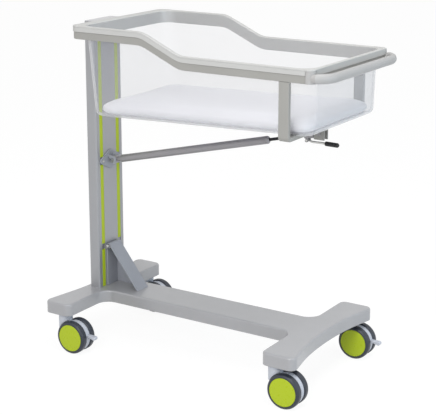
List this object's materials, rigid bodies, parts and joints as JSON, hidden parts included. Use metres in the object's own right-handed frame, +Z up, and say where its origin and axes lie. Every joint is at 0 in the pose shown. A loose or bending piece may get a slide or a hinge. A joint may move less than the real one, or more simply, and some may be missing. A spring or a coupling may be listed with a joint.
{
  "type": "hospital bassinet",
  "caption": "Hospital bassinet: a clear tub with a mattress in a tilting cradle, held by a single column on a wheeled base, with a push handle and a gas-spring release lever.",
  "frame": {"origin": "on the floor, under the middle of the overall length and width", "axes": "+Z up, +X from the column towards the push handle, +Y to the right of a person at the handle"},
  "size_m": [0.9415, 0.4856, 0.9935],
  "materials": {
    "cover": "light grey moulded plastic, fine satin grain",
    "chassis": "grey powder-coated pressed steel",
    "column": "silver-grey satin coated aluminium extrusion",
    "strip": "lime green plastic strip",
    "bracket": "grey powder coat",
    "steel": "plain zinc-plated steel",
    "frame": "warm grey powder coat",
    "rim": "pale grey satin plastic",
    "handle": "pale grey satin plastic",
    "tub": "clear acrylic",
    "mattress": "white wipe-clean coated cover",
    "spring": "dark grey lacquer",
    "rod": "black nitrided rod",
    "lever": "bright steel wire",
    "grip": "black plastic grip",
    "tyre": "dark grey polyurethane tread",
    "hub": "lime green plastic disc",
    "hood": "light blue-grey plastic"
  },
  "bodies": {
    "base": {"base_cover": "cover", "base_chassis": "chassis", "column": "column", "column_cap": "cover", "slot_strip_left_lower": "strip", "slot_strip_left_middle": "strip", "slot_strip_left_upper": "strip", "slot_strip_right_lower": "strip", "slot_strip_right_middle": "strip", "slot_strip_right_upper": "strip", "brace": "bracket", "brace_pin": "steel", "hinge_bracket": "bracket", "hinge_pin": "steel", "spring_bracket": "bracket", "bracket_screw_left": "steel", "bracket_screw_right": "steel", "spring_pivot_pin": "steel"},
    "cradle": {"frame_sides": "frame", "frame_end": "frame", "corner_post_left": "handle", "corner_post_right": "handle", "push_handle": "handle", "hoop": "frame", "hinge_knuckle": "frame", "rod_clevis": "frame"},
    "tub": {"tub_shell": "tub", "rim_sides": "rim", "rim_end": "rim"},
    "mattress": {"mattress": "mattress"},
    "spring_cylinder": {"spring_cylinder": "spring", "spring_gland": "spring"},
    "spring_rod": {"spring_rod": "rod", "release_head": "spring"},
    "release_lever": {"release_lever": "lever", "lever_grip": "grip"},
    "caster_back_left": {"caster_back_left_hood": "hood"},
    "caster_back_left_wheel_left": {"caster_back_left_tyre_left": "tyre", "caster_back_left_hub_left": "hub"},
    "caster_back_left_wheel_right": {"caster_back_left_tyre_right": "tyre", "caster_back_left_hub_right": "hub"},
    "caster_back_left_brake": {"caster_back_left_brake": "hood"},
    "caster_back_right": {"caster_back_right_hood": "hood"},
    "caster_back_right_wheel_left": {"caster_back_right_tyre_left": "tyre", "caster_back_right_hub_left": "hub"},
    "caster_back_right_wheel_right": {"caster_back_right_tyre_right": "tyre", "caster_back_right_hub_right": "hub"},
    "caster_front_left": {"caster_front_left_hood": "hood"},
    "caster_front_left_wheel_left": {"caster_front_left_tyre_left": "tyre", "caster_front_left_hub_left": "hub"},
    "caster_front_left_wheel_right": {"caster_front_left_tyre_right": "tyre", "caster_front_left_hub_right": "hub"},
    "caster_front_right": {"caster_front_right_hood": "hood"},
    "caster_front_right_wheel_left": {"caster_front_right_tyre_left": "tyre", "caster_front_right_hub_left": "hub"},
    "caster_front_right_wheel_right": {"caster_front_right_tyre_right": "tyre", "caster_front_right_hub_right": "hub"},
    "caster_front_right_brake": {"caster_front_right_brake": "hood"}
  },
  "joints": [
    {"name": "cradle_tilt", "type": "hinge", "parent": "base", "child": "cradle", "pos_m": [-0.3825, 0, 0.9645], "axis": [0, -1, 0], "range_deg": [-12, 12]},
    {"name": "tub_lift", "type": "slide", "parent": "cradle", "child": "tub", "axis": [0, 0, 1], "range_m": [0, 0.25]},
    {"name": "mattress_lift", "type": "slide", "parent": "tub", "child": "mattress", "axis": [0, 0, 1], "range_m": [0, 0.2]},
    {"name": "spring_swing", "type": "hinge", "parent": "base", "child": "spring_cylinder", "pos_m": [-0.376, 0, 0.554], "axis": [0, -1, 0], "range_deg": [-11, 11]},
    {"name": "spring_stroke", "type": "slide", "parent": "spring_cylinder", "child": "spring_rod", "axis": [0.9732, 0, 0.2299], "range_m": [-0.087, 0.087]},
    {"name": "lever_pull", "type": "hinge", "parent": "spring_rod", "child": "release_lever", "pos_m": [0.29242, 0, 0.69753], "axis": [0, -1, 0], "range_deg": [0, 10], "stiffness_Nm_per_rad": 0.3, "springref_deg": -11.46},
    {"name": "caster_back_left_swivel", "type": "hinge", "parent": "base", "child": "caster_back_left", "pos_m": [-0.414, -0.211, 0.05], "axis": [0, 0, 1], "continuous": true},
    {"name": "caster_back_left_wheel_left_roll", "type": "hinge", "parent": "caster_back_left", "child": "caster_back_left_wheel_left", "pos_m": [-0.376, -0.211, 0.05], "axis": [0, 1, 0], "continuous": true},
    {"name": "caster_back_left_wheel_right_roll", "type": "hinge", "parent": "caster_back_left", "child": "caster_back_left_wheel_right", "pos_m": [-0.376, -0.211, 0.05], "axis": [0, 1, 0], "continuous": true},
    {"name": "caster_back_left_brake_press", "type": "hinge", "parent": "caster_back_left", "child": "caster_back_left_brake", "pos_m": [-0.376, -0.211, 0.05], "axis": [0, 1, 0], "range_deg": [0, 15]},
    {"name": "caster_back_right_swivel", "type": "hinge", "parent": "base", "child": "caster_back_right", "pos_m": [-0.414, 0.211, 0.05], "axis": [0, 0, 1], "continuous": true},
    {"name": "caster_back_right_wheel_left_roll", "type": "hinge", "parent": "caster_back_right", "child": "caster_back_right_wheel_left", "pos_m": [-0.376, 0.211, 0.05], "axis": [0, 1, 0], "continuous": true},
    {"name": "caster_back_right_wheel_right_roll", "type": "hinge", "parent": "caster_back_right", "child": "caster_back_right_wheel_right", "pos_m": [-0.376, 0.211, 0.05], "axis": [0, 1, 0], "continuous": true},
    {"name": "caster_front_left_swivel", "type": "hinge", "parent": "base", "child": "caster_front_left", "pos_m": [0.32, -0.211, 0.05], "axis": [0, 0, 1], "continuous": true},
    {"name": "caster_front_left_wheel_left_roll", "type": "hinge", "parent": "caster_front_left", "child": "caster_front_left_wheel_left", "pos_m": [0.358, -0.211, 0.05], "axis": [0, 1, 0], "continuous": true},
    {"name": "caster_front_left_wheel_right_roll", "type": "hinge", "parent": "caster_front_left", "child": "caster_front_left_wheel_right", "pos_m": [0.358, -0.211, 0.05], "axis": [0, 1, 0], "continuous": true},
    {"name": "caster_front_right_swivel", "type": "hinge", "parent": "base", "child": "caster_front_right", "pos_m": [0.32, 0.211, 0.05], "axis": [0, 0, 1], "continuous": true},
    {"name": "caster_front_right_wheel_left_roll", "type": "hinge", "parent": "caster_front_right", "child": "caster_front_right_wheel_left", "pos_m": [0.358, 0.211, 0.05], "axis": [0, 1, 0], "continuous": true},
    {"name": "caster_front_right_wheel_right_roll", "type": "hinge", "parent": "caster_front_right", "child": "caster_front_right_wheel_right", "pos_m": [0.358, 0.211, 0.05], "axis": [0, 1, 0], "continuous": true},
    {"name": "caster_front_right_brake_press", "type": "hinge", "parent": "caster_front_right", "child": "caster_front_right_brake", "pos_m": [0.358, 0.211, 0.05], "axis": [0, 1, 0], "range_deg": [0, 15]}
  ],
  "couplings": [
    {"joint": "spring_swing", "follows": "cradle_tilt", "ratio": 0.87913},
    {"joint": "spring_stroke", "follows": "cradle_tilt", "m_per_rad": 0.401}
  ]
}
